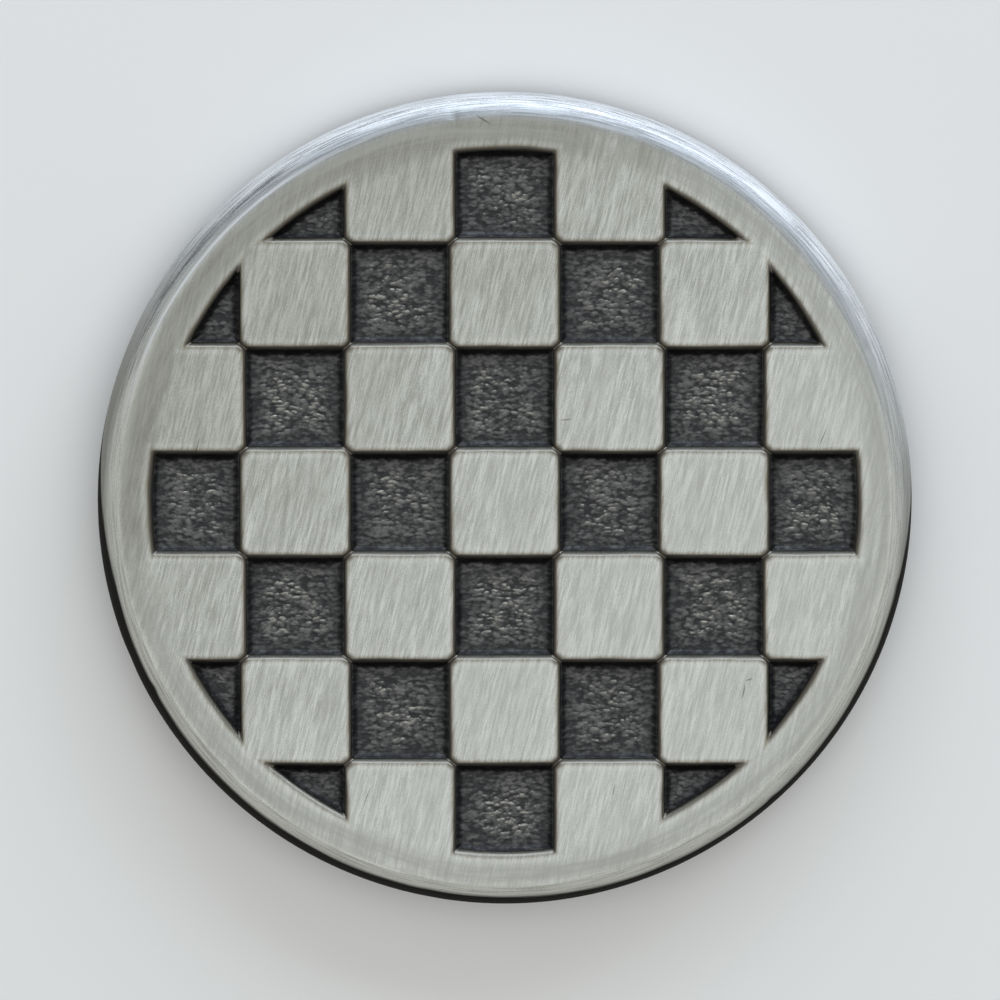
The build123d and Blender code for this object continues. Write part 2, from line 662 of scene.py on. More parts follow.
@dataclass(frozen=True)
class AntiquedMetal:
    """Plated coin metal: blackened all over, then brushed bright on the face and the bevel.

    The mesh carries `cut`, 0 on the face and 1 at the foot of a cell's wall; `lean`, the slope of the face,
    which also masks the painted shade on slopes, outside the outline and at the saddles; `crest` and `line`,
    1 along two lines a little inside the relief's edges; `side`, 0 on the face and 1 on the side and the
    back, where the blackening was never brushed off and a painted shade keeps it further up towards -Y;
    `painted_sheen`, 1 where the bevel carries a painted bluish reflection; `crease`, 1 along part of the line
    between border and bevel, where a painted highlight runs; and `shade_band`, 1 along a band of painted
    shade next to it.
    """

    silver: Color = (0.63, 0.648, 0.625)
    silver_mid: Color = (0.46, 0.473, 0.45)
    silver_low: Color = (0.37, 0.38, 0.355)
    polished: Color = (0.76, 0.775, 0.765)
    # Painted bluish reflection on the bevel towards +Y: inner edge, outer edge and brush lines.
    sheen_inner: Color = (0.46, 0.48, 0.495)
    sheen_outer: Color = (0.94, 0.965, 1.0)
    sheen_low: Color = (0.30, 0.31, 0.32)
    bevel_inner: Color = (0.76, 0.765, 0.72)
    # Painted shade on the bevel's outer edge where it has no painted reflection.
    bevel_outer_shade: Color = (0.30, 0.295, 0.265)
    bevel_low: Color = (0.47, 0.47, 0.43)
    # Painted shade in a band along the bevel towards -X +Y.
    soot_and_shade: Color = (0.15, 0.15, 0.16)
    # Painted shade on the face and, darker still, on the border towards -X +Y.
    face_shade: Color = (0.44, 0.455, 0.42)
    face_shade_low: Color = (0.31, 0.32, 0.285)
    border_shade: Color = (0.30, 0.303, 0.272)
    border_shade_low: Color = (0.222, 0.222, 0.195)
    warm: Color = (0.30, 0.26, 0.19)
    # Painted shade on the relief's slopes, outside its outline and at the saddles.
    slope_shade: Color = (0.19, 0.175, 0.145)
    lacquered: Color = (0.027, 0.027, 0.029)
    # The blackening's colour; on the side a painted shade keeps it further up towards -Y.
    unbrushed: Color = (0.007, 0.0058, 0.0045)
    scuffed: Color = (0.10, 0.095, 0.085)
    stroke_turn: float = 77.0
    roughness: float = 0.36
    relief_depth: float = 0.0045
    hairlines: tuple[Hairline, ...] = (
        Hairline(7.45, -5.9, 78.0, 0.55, 0.030, 0.10),
        Hairline(7.62, -5.52, 20.0, 0.26, 0.030, 0.02),
        Hairline(-0.66, 11.92, -32.0, 0.64, 0.032, 0.03),
        Hairline(1.9, 2.6, 5.0, 0.5, 0.022, 0.05),
        Hairline(-4.3, -9.2, 70.0, 0.7, 0.022, 0.06),
        Hairline(9.9, 2.1, 66.0, 0.9, 0.022, 0.0),
        Hairline(-9.6, 1.6, 74.0, 1.0, 0.022, 0.05),
        Hairline(3.4, -9.0, 80.0, 0.5, 0.022, 0.03),
    )

    def marks(self, bench: NodeBench, effects: SurfaceEffects) -> MetalMarks:
        """The strokes of the brush, straight over the board and round the coin outside it, and the stains.

        Args:
            bench: The material's bench.
            effects: The shared node groups.

        Returns:
            The shared wires.
        """
        place = bench.millimetres()
        turn = math.radians(self.stroke_turn)
        fine, = bench.group(effects.brushed, Vector=place, Turn=turn, Length=0.95, Width=0.070)
        hair, = bench.group(effects.brushed, Vector=place, Turn=turn - 0.06, Length=0.50, Width=0.032)
        broad, = bench.group(effects.brushed, Vector=place, Turn=turn - 0.12, Length=2.6, Width=0.30)
        streaks, radius = bench.group(effects.turned, Vector=place, Sweep=7.0, Width=0.065)
        bands, _ = bench.group(effects.turned, Vector=place, Sweep=2.6, Width=0.34)
        clouds, = bench.group(effects.mottle, Vector=place, Size=1.9, Contrast=2.4)
        pits, = bench.group(effects.pits, Vector=place, Spacing=0.42, Radius=0.055)
        on_rim = bench.between(radius, 11.85, 12.15)
        strokes = bench.blend(on_rim, fine * 0.60 + hair * 0.40, streaks)
        lines = strokes + (bench.noise(place, 22.0, 2.0, 0.6) - 0.5) * 0.32
        return MetalMarks(place, radius, fine, hair, broad, streaks, bands, clouds, pits, on_rim, lines)

    def face(self, bench: NodeBench, marks: MetalMarks) -> Wire:
        """The face: darker and more deeply marked towards -X +Y, most of all on the border, a painted shade,
        with random cloudy patches.

        Args:
            bench: The material's bench.
            marks: The shared wires.

        Returns:
            Its colour.
        """
        x, y, _ = bench.split(marks.place)
        level = bench.between(marks.lines, 0.36, 0.64)
        # Painted shade: darker towards -X +Y; the cloudy patches in it are random.
        shade_and_patches = y * 0.75 - x * 0.65 + (marks.clouds - 0.5) * 4.0
        low = bench.mix(bench.between(shade_and_patches, -7.0, 7.0), self.silver_mid, self.silver_low)
        bare = bench.mix(level, low, self.silver)
        bare = bench.mix(bench.between(marks.broad, 0.34, 0.62, 0.45, 0.0), bare, low)
        face_shade = bench.mix(level, self.face_shade_low, self.face_shade)
        bare = bench.mix(bench.between(shade_and_patches, -1.0, 10.0, 0.0, 0.72), bare, face_shade)
        # Painted shade on the border towards -X +Y.
        border = bench.between(shade_and_patches, 4.0, 8.5) * bench.between(marks.radius, 10.7, 11.5)
        border = border * bench.between(marks.radius, 11.95, 12.12, 0.96, 0.0)
        bare = bench.mix(border, bare, bench.mix(level, self.border_shade_low, self.border_shade))
        swept = bench.between(marks.bands, 0.32, 0.66, 0.85, 0.25)
        return bench.mix(swept * bench.between(marks.radius, 10.9, 11.6), bare, self.silver_low)

    def bevel(self, bench: NodeBench, marks: MetalMarks, face: Wire) -> Wire:
        """The bevel over the face.

        Towards +Y it carries a painted bluish reflection, brightest at its outer edge; elsewhere a painted
        shade darkens it towards the side. Towards -X +Y a painted shade runs in a band along it, below a
        painted highlight along the crease.

        Args:
            bench: The material's bench.
            marks: The shared wires.
            face: The face's colour.

        Returns:
            The colour of both.
        """
        gaps = bench.between(marks.lines, 0.32, 0.60, 0.80, 0.0)
        plain = bench.mix(gaps, self.bevel_inner, self.bevel_low)
        # Painted shade: the bevel darkens towards the side.
        plain = bench.mix(bench.between(marks.radius, 12.26, 12.56), plain, self.bevel_outer_shade)
        # Painted bluish reflection, brightest at the bevel's outer edge.
        painted_sheen = bench.mix(bench.between(marks.radius, 12.20, 12.52), self.sheen_inner, self.sheen_outer)
        painted_sheen = bench.mix(gaps, painted_sheen, self.sheen_low)
        bevel = bench.mix(bench.attribute("painted_sheen"), plain, painted_sheen)
        color = bench.mix(marks.on_rim * 0.9, face, bevel)
        # Painted shade in a band along the bevel towards -X +Y.
        shade_band_mask = bench.attribute("shade_band") * bench.between(marks.lines, 0.36, 0.60, 1.0, 0.35)
        color = bench.mix(shade_band_mask, color, self.soot_and_shade)
        # Painted highlight along the crease towards -X +Y.
        return bench.mix(bench.attribute("crease") * 0.7, color, self.sheen_outer)

    def worn_edges(self, bench: NodeBench, marks: MetalMarks, bare: Wire, cut: Wire) -> Wire:
        """The relief's edges over the bare metal.

        Wear is brightest on the crest of an edge. Outside it a line of the warm ground metal shows. Down the
        wall, outside the outline and at the saddles a painted shade darkens the metal, and lower down it is
        dark with lacquer.

        Args:
            bench: The material's bench.
            marks: The shared wires.
            bare: The bare metal's colour.
            cut: How far down the wall a place is.

        Returns:
            The colour with the edges.
        """
        crest = bench.attribute("crest") * bench.between(marks.lines, 0.35, 0.60, 0.10, 0.20)
        worn = bench.mix(crest, bare, self.polished)
        thin = bench.attribute("line") * bench.between(marks.fine, 0.30, 0.62, 0.85, 0.35)
        worn = bench.mix(thin, worn, self.warm)
        # Painted shade on slopes, outside the outline and at the saddles.
        leaning = bench.between(bench.attribute("lean"), 0.16, 0.78, 0.0, 0.95)
        worn = bench.mix(leaning, worn, self.slope_shade)
        return bench.mix(bench.between(cut, 0.36, 0.72), worn, self.lacquered)

    def blackened(self, bench: NodeBench, marks: MetalMarks, color: Wire, black_and_shade: Wire) -> Wire:
        """The blackening and painted shade over the side and the back, scuffed near the foot, and in the
        pinholes.

        Args:
            bench: The material's bench.
            marks: The shared wires.
            color: The brushed metal's colour.
            black_and_shade: How much of the blackening and of the painted shade on the side there is.

        Returns:
            The colour of both.
        """
        _, _, height = bench.split(marks.place)
        soot_and_shade = bench.mix(bench.between(marks.streaks, 0.42, 0.68), self.unbrushed, self.scuffed)
        soot_and_shade = bench.mix(bench.between(height, 0.9, 1.75), soot_and_shade, self.unbrushed)
        return bench.mix(marks.pits * 0.6, bench.mix(black_and_shade, color, soot_and_shade), self.unbrushed)

    def scratched(self, bench: NodeBench, hairline: bpy.types.NodeTree, place: Wire, color: Wire) -> Wire:
        """The fine scratches over the metal, dark with what they have caught.

        Args:
            bench: The material's bench.
            hairline: The group for one scratch.
            place: The place on the coin.
            color: The metal's colour.

        Returns:
            The colour of both.
        """
        for mark in self.hairlines:
            where = {"Middle": (mark.x, mark.y, 0.0), "Turn": math.radians(mark.turn)}
            size = {"Length": mark.length, "Width": mark.width, "Bow": mark.bow}
            mask, = bench.group(hairline, Vector=place, **where, **size)
            color = bench.mix(mask * 0.6, color, self.unbrushed)
        return color

    def material(self, effects: SurfaceEffects) -> bpy.types.Material:
        """The finish as a material.

        Args:
            effects: The shared node groups.

        Returns:
            The material.
        """
        bench = MaterialBench.started("antiqued_metal")
        marks = self.marks(bench, effects)
        cut = bench.attribute("cut") + (marks.hair - 0.5) * 0.16
        # How dark the side is: blackening, kept further up towards -Y by a painted shade.
        black_and_shade = bench.between(bench.attribute("side") + (marks.streaks - 0.5) * 0.7, 0.25, 0.75, 0.0, 0.99)
        color = self.bevel(bench, marks, self.face(bench, marks))
        color = self.worn_edges(bench, marks, color, cut)
        color = self.blackened(bench, marks, color, black_and_shade)
        bare = bench.between(cut, 0.38, 0.75, 1.0, 0.0)
        spread = bench.between(marks.lines, 0.3, 0.7, self.roughness + 0.07, self.roughness - 0.05)
        inputs = {
            "Base Color": self.scratched(bench, effects.hairline, marks.place, color),
            "Metallic": bench.math("SUBTRACT", bare, black_and_shade, clamp=True),
            "Specular IOR Level": 0.10,
            "Roughness": spread + (marks.on_rim * 0.24 + black_and_shade * 0.16),
        }
        height = marks.lines + marks.broad * 0.6 - marks.pits * 1.5
        return bench.finished(inputs, height, self.relief_depth)


@dataclass(frozen=True)
class DarkLacquer:
    """Lacquer left in the sunk cells, lighter on the lumps and rubbed to bare metal on some of them.

    The mesh carries `lump`, 0 in the hollows and 1 on the lumps; `rub_glint`, 1 where a lump's top is rubbed
    bare or its flank towards +Y carries a painted glint; and `foot`, 1 at the foot of a wall, where a painted
    shadow and shade darken it.
    """

    hollow: Color = (0.011, 0.0115, 0.014)
    crown: Color = (0.130, 0.131, 0.127)
    # Colour of the painted shadow at the foot of the walls.
    corner: Color = (0.008, 0.008, 0.009)
    # Bare metal on rubbed lumps, and the painted glint on their flanks towards +Y.
    rubbed: Color = (0.34, 0.335, 0.295)
    roughness: float = 0.38
    relief_depth: float = 0.010

    def material(self, effects: SurfaceEffects) -> bpy.types.Material:
        """The finish as a material.

        Args:
            effects: The shared node groups.

        Returns:
            The material.
        """
        bench = MaterialBench.started("dark_lacquer")
        place = bench.millimetres()
        grain, = bench.group(effects.brushed, Vector=place, Turn=0.0, Length=0.10, Width=0.045)
        clouds, = bench.group(effects.mottle, Vector=place, Size=0.6, Contrast=2.5)
        foot = bench.attribute("foot")
        # Rubbed metal on top of the lumps and a painted glint on their flanks towards +Y.
        rub_glint = bench.attribute("rub_glint") * bench.between(grain, 0.30, 0.62, 0.55, 1.0)
        height = bench.attribute("lump") + (grain - 0.5) * 0.5
        color = bench.mix(bench.between(height, 0.05, 0.95), self.hollow, self.crown)
        color = bench.mix(clouds * 0.25, color, self.hollow)
        color = bench.mix(bench.between(rub_glint, 0.05, 0.95), color, self.rubbed)
        spread = bench.between(clouds, 0.0, 1.0, self.roughness - 0.04, self.roughness + 0.08)
        inputs = {
            # Painted shadow at the foot of the walls: near-black, and metallic so that it reflects almost
            # nothing.
            "Base Color": bench.mix(foot * 0.90, color, self.corner),
            "Metallic": bench.math("MAXIMUM", bench.between(rub_glint, 0.05, 0.7, 0.15, 0.9), foot * 0.9),
            "Roughness": spread + foot * 0.35,
            "Specular IOR Level": 0.45,
        }
        return bench.finished(inputs, grain, self.relief_depth)


@dataclass(frozen=True)
class KeeperSteel:
    """Stamped steel with faint turned marks, a few scuffs and pinholes of rust, and a dull bloom."""

    steel: Color = (0.50, 0.51, 0.52)
    dull: Color = (0.30, 0.30, 0.29)
    rust: Color = (0.10, 0.08, 0.06)
    relief_depth: float = 0.004

    def material(self, effects: SurfaceEffects) -> bpy.types.Material:
        """The finish as a material.

        Args:
            effects: The shared node groups.

        Returns:
            The material.
        """
        bench = MaterialBench.started("keeper_steel")
        place = bench.millimetres()
        rings, _ = bench.group(effects.turned, Vector=place, Sweep=2.5, Width=0.09)
        scuffs, = bench.group(effects.brushed, Vector=place, Turn=math.radians(25.0), Length=2.5, Width=0.05)
        clouds, = bench.group(effects.mottle, Vector=place, Size=3.0, Contrast=2.5)
        pits, = bench.group(effects.pits, Vector=place, Spacing=0.6, Radius=0.08)
        color = bench.mix(bench.between(rings, 0.35, 0.7), self.dull, self.steel)
        color = bench.mix(clouds * 0.4, color, self.dull)
        inputs = {
            "Base Color": bench.mix(pits * 0.5, color, self.rust),
            "Metallic": 1.0,
            "Roughness": bench.between(scuffs, 0.3, 0.7, 0.42, 0.28),
        }
        return bench.finished(inputs, rings + scuffs * 0.6, self.relief_depth)


@dataclass(frozen=True)
class AmberEpoxy:
    """The amber glue that shows as a fine line round the keeper."""

    amber: Color = (0.36, 0.27, 0.14)
    dark: Color = (0.16, 0.12, 0.07)
    relief_depth: float = 0.01

    def material(self, effects: SurfaceEffects) -> bpy.types.Material:
        """The finish as a material.

        Args:
            effects: The shared node groups.

        Returns:
            The material.
        """
        bench = MaterialBench.started("bond_epoxy")
        clouds, = bench.group(effects.mottle, Vector=bench.millimetres(), Size=0.8, Contrast=2.0)
        color = bench.mix(clouds, self.dark, self.amber)
        inputs = {"Base Color": color, "Roughness": bench.between(clouds, 0.0, 1.0, 0.22, 0.38)}
        return bench.finished(inputs, clouds, self.relief_depth)


# ---------------------------------------------------------------------------------------------------------
# The struck coin


@dataclass(frozen=True)
class Board:
    """The chequered relief as one height field over the coin's face.

    Cells are counted from the middle one: (column, row) = (0, 0), columns towards +X and rows towards +Y.
    """

    face_level: float
    relief: float
    film: float
    pitch: float
    film_radius: float
    outer_row: int = 3
    run_under: float = 4.0  # how far the outer rows run on under the border
    setback: tuple[float, float] = (-0.085, -0.045)
    wall_run: float = 0.19
    corner_radius: float = 0.30
    soft_edge: float = 0.17
    shoulder_width: float = 0.34
    shoulder_drop: float = 0.055

    @classmethod
    def from_cad(cls) -> "Board":
        """The board whose sizes are those of the CAD model's coin and of two of its lacquer films.

        Returns:
            The board.
        """
        _, coin_high = cad_box("marker_body")
        low, high = cad_box("cell_lacquer_r4_c5")
        _, north_high = cad_box("cell_lacquer_r1_c4")
        return cls(coin_high.z, coin_high.z - low.z, high.z - low.z, (low.x + high.x) / 2, north_high.y)

    @property
    def floor_level(self) -> float:
        """Height of the sunk cells' floor."""
        return self.face_level - self.relief

    @property
    def film_inset(self) -> float:
        """How far in from the top of a wall the wall has come down to the film's own top."""
        return self.wall_run * (1.0 - self.film / self.relief)

    @property
    def radius(self) -> float:
        """Radius of the border's inner edge at the face, from that of the CAD films' tops."""
        return self.film_radius + self.film_inset

    @property
    def square_edge(self) -> float:
        """From the middle to the far side of the last whole row."""
        return (self.outer_row - 0.5) * self.pitch

    @property
    def join_radius(self) -> float:
        """Radius of the circle through the corners of the whole rows' square."""
        return self.square_edge * math.sqrt(2.0)

    def tiles(self) -> Iterator[tuple[float, float, float, float]]:
        """Middle and half size of every raised tile's top. Those of the outer rows run on under the border.

        Returns:
            Middle x, middle y, half width and half depth of each in turn.
        """
        far = self.outer_row
        for column in range(-far, far + 1):
            for row in range(-far, far + 1):
                if (column + row) % 2 == 0 and abs(column) + abs(row) < 2 * far:
                    x, half_width = self._span(column)
                    y, half_depth = self._span(row)
                    yield x, y, half_width - self.setback[0], half_depth - self.setback[1]

    def _span(self, number: int) -> tuple[float, float]:
        """Middle and half width of a row or column, from its number."""
        extra = 0.0 if abs(number) < self.outer_row else self.run_under
        return number * self.pitch + math.copysign(extra / 2, number), (self.pitch + extra) / 2

    def distance(self, x: Array, y: Array) -> Array:
        """Signed distance from the outline of the raised metal's top, positive over the sunk cells.

        A tile's is that of a rounded rectangle: the length of what lies beyond its inner rectangle, less the
        corner radius. The border's is its radius less the point's. The smallest of all of them counts, with a
        slow wander of about a hundredth of a millimetre, as on a cut die.

        Args:
            x, y: Where it is wanted.

        Returns:
            The distance, in the shape of x.
        """
        nearest = self.radius - np.hypot(x, y)
        for middle_x, middle_y, half_x, half_y in self.tiles():
            over_x = np.abs(x - middle_x) - (half_x - self.corner_radius)
            over_y = np.abs(y - middle_y) - (half_y - self.corner_radius)
            outside = np.hypot(np.maximum(over_x, 0), np.maximum(over_y, 0))
            inside = np.minimum(np.maximum(over_x, over_y), 0)
            nearest = np.minimum(nearest, outside + inside - self.corner_radius)
        u, v = x + TO_LATTICE, y + TO_LATTICE
        wander = value_noise(u, v, (0.9, 0.9), 3) - 0.5
        ripple = value_noise(u, v, (0.28, 0.28), 4) - 0.5
        return nearest + 0.030 * wander + 0.014 * ripple

    def from_crossing(self, x: Array, y: Array, border_gap: float = 0.3) -> Array:
        """Distance to the nearest point where four cells meet: (n + ½, m + ½) in units of the pitch.

        Args:
            x, y: Where it is wanted.
            border_gap: From the border's edge to the nearest crossing that counts.

        Returns:
            The distance, and a whole pitch outside the board.
        """
        off_x = np.abs(x / self.pitch - 0.5 - np.round(x / self.pitch - 0.5))
        off_y = np.abs(y / self.pitch - 0.5 - np.round(y / self.pitch - 0.5))
        on_board = np.hypot(x, y) < self.radius - border_gap
        return np.where(on_board, self.pitch * np.hypot(off_x, off_y), self.pitch)

    def wall_line(self, away: Array) -> Array:
        """Height over the floor of the wall's straight line, which runs on past the floor and the face."""
        return self.relief * (1.0 - away / self.wall_run)

    def slope(self, x: Array, y: Array, step: float = 0.004) -> Array:
        """How steep the face is: the length of its gradient, from the heights a step to each side.

        Args:
            x, y: Where it is wanted.
            step: How far to each side, in millimetres.

        Returns:
            The slope, in the shape of x.
        """
        along_x = self.height(x + step, y) - self.height(x - step, y)
        along_y = self.height(x, y + step) - self.height(x, y - step)
        return np.hypot(along_x, along_y) / (2 * step)

    def height(self, x: Array, y: Array) -> Array:
        """Height of the struck face.

        The wall falls in a straight line from the outline and meets the face in a rounded corner. A shoulder
        lowers the metal by the square of its nearness to the outline, and brushing left shallow waves.

        Args:
            x, y: Where it is wanted.

        Returns:
            The height, in the shape of x.
        """
        away = self.distance(x, y)
        wall = self.wall_line(away)
        metal = soft_min(wall, np.full_like(wall, self.relief), self.soft_edge)
        shoulder = np.clip(1.0 + away / self.shoulder_width, 0.0, 1.0) ** 2
        u, v = x + TO_LATTICE, y + TO_LATTICE
        waves = value_noise(u, v, (2.1, 2.9), 5) * 0.010 + value_noise(u, v, (0.7, 1.1), 6) * 0.003
        return self.floor_level + np.maximum(metal - self.shoulder_drop * shoulder - waves, 0.0)


@dataclass(frozen=True)
class Nick:
    """A small dent in the coin's edge: its bearing in degrees, its height, its reach and its depth."""

    bearing: float
    height: float
    reach: float
    depth: float


@dataclass
class MarkerBody:
    """The struck coin as one closed skin: the board, the border, the bevel, the side and the stepped back."""

    board: Board
    radius: float
    step: float
    pocket_radius: float
    pocket_roof: float
    bevel_width: float = 0.66
    bevel_drop: float = 1.0
    back_edge: float = 0.6
    foot_width: float = 1.2
    stations: int = 36
    outer_stations: int = 8
    # Bearings of painted light and shade: bluish reflection, lit side, band of shade and crease highlight.
    sheen_bearing: float = 78.0  # bearings and their spread are in degrees
    lit_bearing: float = 88.0
    second_lit_bearing: float = -20.0
    band_bearing: float = 141.0
    band_spread: float = 24.0
    band_radius: float = 12.38
    crease_radius: float = 12.09
    rounded_radii: tuple[float, float] = (10.9, 12.1)
    rounded_drop: float = 0.020
    nicked_radius: float = 11.8
    pressed_level: float = 1.9
    nicks: tuple[Nick, ...] = (
        Nick(97.5, 2.47, 0.17, 0.055),
        Nick(141.0, 2.2, 0.30, 0.020),
        Nick(148.5, 2.0, 0.22, 0.025),
        Nick(127.0, 2.35, 0.18, 0.018),
        Nick(23.0, 2.3, 0.22, 0.016),
        Nick(-12.0, 2.1, 0.25, 0.018),
        Nick(-48.0, 2.2, 0.18, 0.020),
        Nick(-101.0, 2.0, 0.30, 0.015),
        Nick(-152.0, 2.3, 0.20, 0.022),
        Nick(203.0, 1.4, 0.35, 0.020),
        Nick(61.0, 1.1, 0.30, 0.018),
        Nick(-70.0, 0.9, 0.35, 0.020),
    )

    @classmethod
    def from_cad(cls, board: Board, clearance: float = 0.1) -> "MarkerBody":
        """The coin round a board, with the CAD model's diameter.

        Args:
            board: The board on its face.
            clearance: Between the keeper disc and the wall of its pocket.

        Returns:
            The coin.
        """
        _, coin_high = cad_box("marker_body")
        keeper_low, keeper_high = cad_box("keeper_disc")
        _, bond_high = cad_box("bond_film")
        return cls(board, coin_high.x, keeper_low.z, keeper_high.x + clearance, bond_high.z)

    @property
    def rim_inner(self) -> float:
        """Radius of the inner edge of the flat ring that the coin rests on."""
        return self.radius - self.back_edge - self.foot_width

    def board_surface(self) -> Surface:
        """The face inside the circle through the corner tiles' corners.

        The whole rows are a square grid whose lines crowd along the lines between cells. Each outer row is a
        strip from the square's side to the circle: inner stations run to the border's wall and outer ones
        beyond it.

        Returns:
            The surface, flat, at the height of the face.
        """
        board = self.board
        cells = 2 * board.outer_row - 1
        rows = [crowded(self.stations)[:-1] + i for i in range(cells)]
        lines = np.concatenate([*rows, [float(cells)]]) * board.pitch - board.square_edge
        x, y = np.meshgrid(lines, lines)
        pieces = [Surface.from_grid(np.stack([x, y, np.full_like(x, board.face_level)], axis=-1))]
        to_circle = np.sqrt(np.maximum(board.join_radius**2 - lines**2, 0)) - board.square_edge
        to_circle[[0, -1]] = 0.0
        to_wall = np.sqrt(board.radius**2 - np.minimum(np.abs(lines), board.radius) ** 2) - board.square_edge
        inner = np.maximum(to_wall, 0.35 * to_circle)
        inner_part = crowded(self.stations - self.outer_stations)[:, None] * inner
        outer_part = inner + (to_circle - inner) * np.linspace(0, 1, self.outer_stations + 1)[1:, None]
        depth = np.concatenate([inner_part, outer_part])
        level = np.full_like(depth, board.face_level)
        strip = np.stack([np.broadcast_to(lines, depth.shape), board.square_edge + depth, level], axis=-1)
        pieces += [Surface.from_grid(turned(strip, quarter)) for quarter in range(4)]
        return Surface.welded(pieces)

    def edge_profile(self) -> Array:
        """Profile from the board outwards, over the edge and under the coin to the middle of the pocket.

        The bevel is an arc through its two ends that is upright at the lower one. A curve of the second
        degree rounds its upper end. At every other corner two points stand a few hundredths of a millimetre
        off it, which rounds it in the smooth shading.

        Returns:
            Its points (r, z).
        """
        face = self.board.face_level
        bulge = (self.bevel_width**2 + self.bevel_drop**2) / (2 * self.bevel_width)
        centre = (self.radius - bulge, face - self.bevel_drop)
        crease = self.radius - self.bevel_width
        start = math.degrees(math.asin((self.bevel_drop - 0.027) / bulge))
        on_bevel = arc(centre, bulge, start, 0.0, 15)
        t = np.linspace(0, 1, 7)[:, None]
        ends = np.array([[crease - 0.09, face], [crease + 0.01, face], on_bevel[0]])
        rounded = (1 - t) ** 2 * ends[0] + 2 * t * (1 - t) * ends[1] + t**2 * ends[2]
        foot, inner, pocket = self.radius - self.back_edge, self.rim_inner, self.pocket_radius
        return np.concatenate([
            line((self.board.join_radius + 0.12, face), (crease - 0.16, face), 3),
            rounded[:-1],
            on_bevel,
            line((self.radius, face - self.bevel_drop - 0.22), (self.radius, self.back_edge), 4),
            arc((foot, self.back_edge), self.back_edge, -9.0, -90.0, 9),
            line((foot - 0.4, 0), (inner + 0.03, 0), 2),
            line((inner + 0.005, 0.012), (inner, self.step - 0.02), 2),
            line((inner - 0.02, self.step), (pocket + 0.04, self.step), 5),
            line((pocket + 0.01, self.step + 0.015), (pocket, self.pocket_roof - 0.02), 3),
            line((pocket - 0.02, self.pocket_roof), (0.0, self.pocket_roof), 3),
        ])

    def build(self) -> bpy.types.Object:
        """The coin: the board's surface and the turned profile welded at their common rim, struck and dented.

        Returns:
            The piece.
        """
        top = self.board_surface()
        rim = top.rim_points()
        angles = np.arctan2(top.points[rim, 1], top.points[rim, 0])
        rim, angles = rim[np.argsort(angles)], np.sort(angles)
        skirt = np.concatenate([top.points[rim][None], turned_profile(self.edge_profile(), angles)])
        whole = Surface.welded([top, Surface.from_grid(skirt, closed=True).flipped()])
        points = whole.points
        x, y = points[:, 0], points[:, 1]
        inside_crease = np.hypot(x, y) < self.radius - self.bevel_width + 0.1
        on_face = inside_crease & (points[:, 2] > self.board.floor_level)
        points[:, 2] = np.where(on_face, np.minimum(self.board.height(x, y), points[:, 2]), points[:, 2])
        self.round_over(points, on_face)
        radii = np.hypot(x, y)
        self.dent(points)
        self.mark_face(whole, on_face)
        self.mark_edge(whole, on_face, radii)
        return whole.to_object("struck_coin")

    def mark_face(self, whole: Surface, on_face: Array) -> None:
        """Sets `cut`, `crest`, `line` and `lean`, from the height, the distance to the outline and the slope.

        Args:
            whole: The coin's skin.
            on_face: Which of its points are on the face.
        """
        board = self.board
        x, y, z = whole.points.T
        away = board.distance(x, y)
        below = np.where(on_face, board.face_level - z, 0.0) - board.shoulder_drop
        # Mask of the painted shade: the slope, raised outside the outline and at the saddles.
        lean = np.maximum(board.slope(x, y), 1.2 * smoothstep(-0.05, 0.03, away))
        lean = np.maximum(lean, 0.85 * bell(board.from_crossing(x, y), 0.0, 0.23))
        whole.attributes["cut"] = np.clip(below / (board.relief - board.shoulder_drop), 0, 1)
        whole.attributes["crest"] = np.where(on_face, bell(away, -0.20, 0.09), 0.0)
        whole.attributes["line"] = np.where(on_face, bell(away, -0.09, 0.045), 0.0)
        whole.attributes["lean"] = np.where(on_face, lean, 0.0)

    def mark_edge(self, whole: Surface, on_face: Array, radii: Array) -> None:
        """Sets `side`, `painted_sheen`, `crease` and `shade_band`, the masks of painted light and shade on
        the edge, from the bearing, the height and the radius.

        Args:
            whole: The coin's skin.
            on_face: Which of its points are on the face.
            radii: Their distances from the axis before the edge was dented.
        """
        x, y, z = whole.points.T
        bearing = np.arctan2(y, x)
        to_sheen = 0.5 + 0.5 * np.cos(bearing - math.radians(self.sheen_bearing))
        stretch = np.exp(-(((np.degrees(bearing) - self.band_bearing) / self.band_spread) ** 4))
        above = z > self.board.face_level - self.bevel_drop
        whole.attributes["side"] = np.where(on_face, 0.0, self.blackening(bearing, z))
        # Mask of the painted reflection, strongest towards +Y.
        whole.attributes["painted_sheen"] = smoothstep(0.50, 0.92, to_sheen)
        # Painted highlight along the crease towards -X +Y.
        whole.attributes["crease"] = bell(radii, self.crease_radius, 0.035) * stretch * above
        # Painted shade in a band along the bevel towards -X +Y.
        whole.attributes["shade_band"] = bell(radii, self.band_radius, 0.10) * stretch * above

    def blackening(self, bearing: Array, height: Array) -> Array:
        """How dark the side is: blackening, with a painted shade that keeps it further up towards -Y than +Y.

        The level below which it is dark falls with the cosine of the bearing from the side where the painted
        light is strongest, and a little with that from a second side.

        Args:
            bearing: Where it is wanted, in radians.
            height: The height there.

        Returns:
            How dark it is, from 0 to 1.
        """
        to_lit = 0.5 + 0.5 * np.cos(bearing - math.radians(self.lit_bearing))
        to_second_lit = 0.5 + 0.5 * np.cos(bearing - math.radians(self.second_lit_bearing))
        # brushed is how near a place is to the side where the painted light is strongest.
        brushed, second_lit = smoothstep(0.36, 0.92, to_lit), smoothstep(0.60, 1.0, to_second_lit)
        level = 2.31 - 1.80 * brushed - 0.11 * second_lit
        return smoothstep(-0.12, 0.18, level - height)

